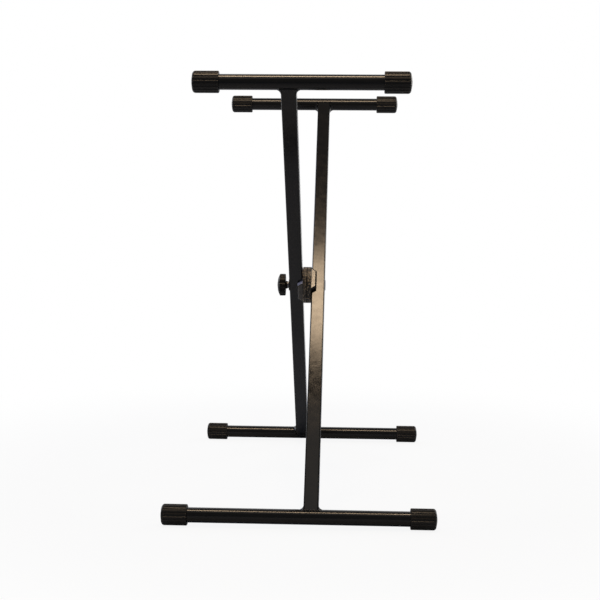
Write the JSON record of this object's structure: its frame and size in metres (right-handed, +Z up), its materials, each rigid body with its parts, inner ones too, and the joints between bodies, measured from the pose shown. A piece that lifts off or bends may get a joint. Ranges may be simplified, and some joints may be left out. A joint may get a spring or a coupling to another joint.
{
  "type": "keyboard stand",
  "caption": "Folding X-frame keyboard stand: crossed square legs on a toothed clutch with a side knob, round bars with ribbed rubber end caps.",
  "frame": {"origin": "on the floor under the pivot, in the middle of the stand's footprint, as it stands open at 85 degrees", "axes": "+Z up; X along the bars, with the knob on the -X side; -Y is the near side in the picture"},
  "size_m": [0.455, 0.6808, 0.7398],
  "materials": {
    "black_paint": "satin black powder coat on steel tube",
    "cap_rubber": "matte black moulded rubber",
    "clutch_black": "satin black moulded, glass-filled",
    "knob_plastic": "satin black moulded",
    "bush_plastic": "plain black acetal",
    "black_washer": "black oxide",
    "zinc_steel": "bright zinc plate"
  },
  "bodies": {
    "right_frame": {"right_leg": "black_paint", "far_top_bar": "black_paint", "far_top_weld": "black_paint", "far_top_cap_left": "cap_rubber", "far_top_cap_right": "cap_rubber", "near_base_bar": "black_paint", "near_base_weld": "black_paint", "near_base_cap_left": "cap_rubber", "near_base_cap_right": "cap_rubber", "right_clutch_half": "clutch_black", "right_clutch_screws": "zinc_steel", "right_pivot_bush": "bush_plastic", "pivot_bolt": "zinc_steel", "hole_plug": "knob_plastic", "clutch_spring": "zinc_steel"},
    "clutch_carrier": {"knob_washer": "black_washer", "spring_seat": "zinc_steel"},
    "left_frame": {"left_leg": "black_paint", "near_top_bar": "black_paint", "near_top_weld": "black_paint", "near_top_cap_left": "cap_rubber", "near_top_cap_right": "cap_rubber", "far_base_bar": "black_paint", "far_base_weld": "black_paint", "far_base_cap_left": "cap_rubber", "far_base_cap_right": "cap_rubber", "left_clutch_half": "clutch_black", "left_clutch_screws": "zinc_steel", "left_pivot_bush": "bush_plastic"},
    "knob": {"knob": "knob_plastic", "knob_insert": "zinc_steel"}
  },
  "joints": [
    {"name": "clutch_close", "type": "slide", "parent": "right_frame", "child": "clutch_carrier", "axis": [1, 0, 0], "range_m": [0, 0.00125], "deforming": ["clutch_spring"]},
    {"name": "fold", "type": "hinge", "parent": "clutch_carrier", "child": "left_frame", "pos_m": [0, 0, 0.36992], "axis": [1, 0, 0], "range_deg": [-80, 70]},
    {"name": "knob_turn", "type": "hinge", "parent": "clutch_carrier", "child": "knob", "pos_m": [-0.045, 0, 0.36992], "axis": [1, 0, 0], "range_deg": [0, 360]}
  ],
  "couplings": [
    {"joint": "knob_turn", "follows": "clutch_close", "rad_per_m": 5026.5}
  ]
}
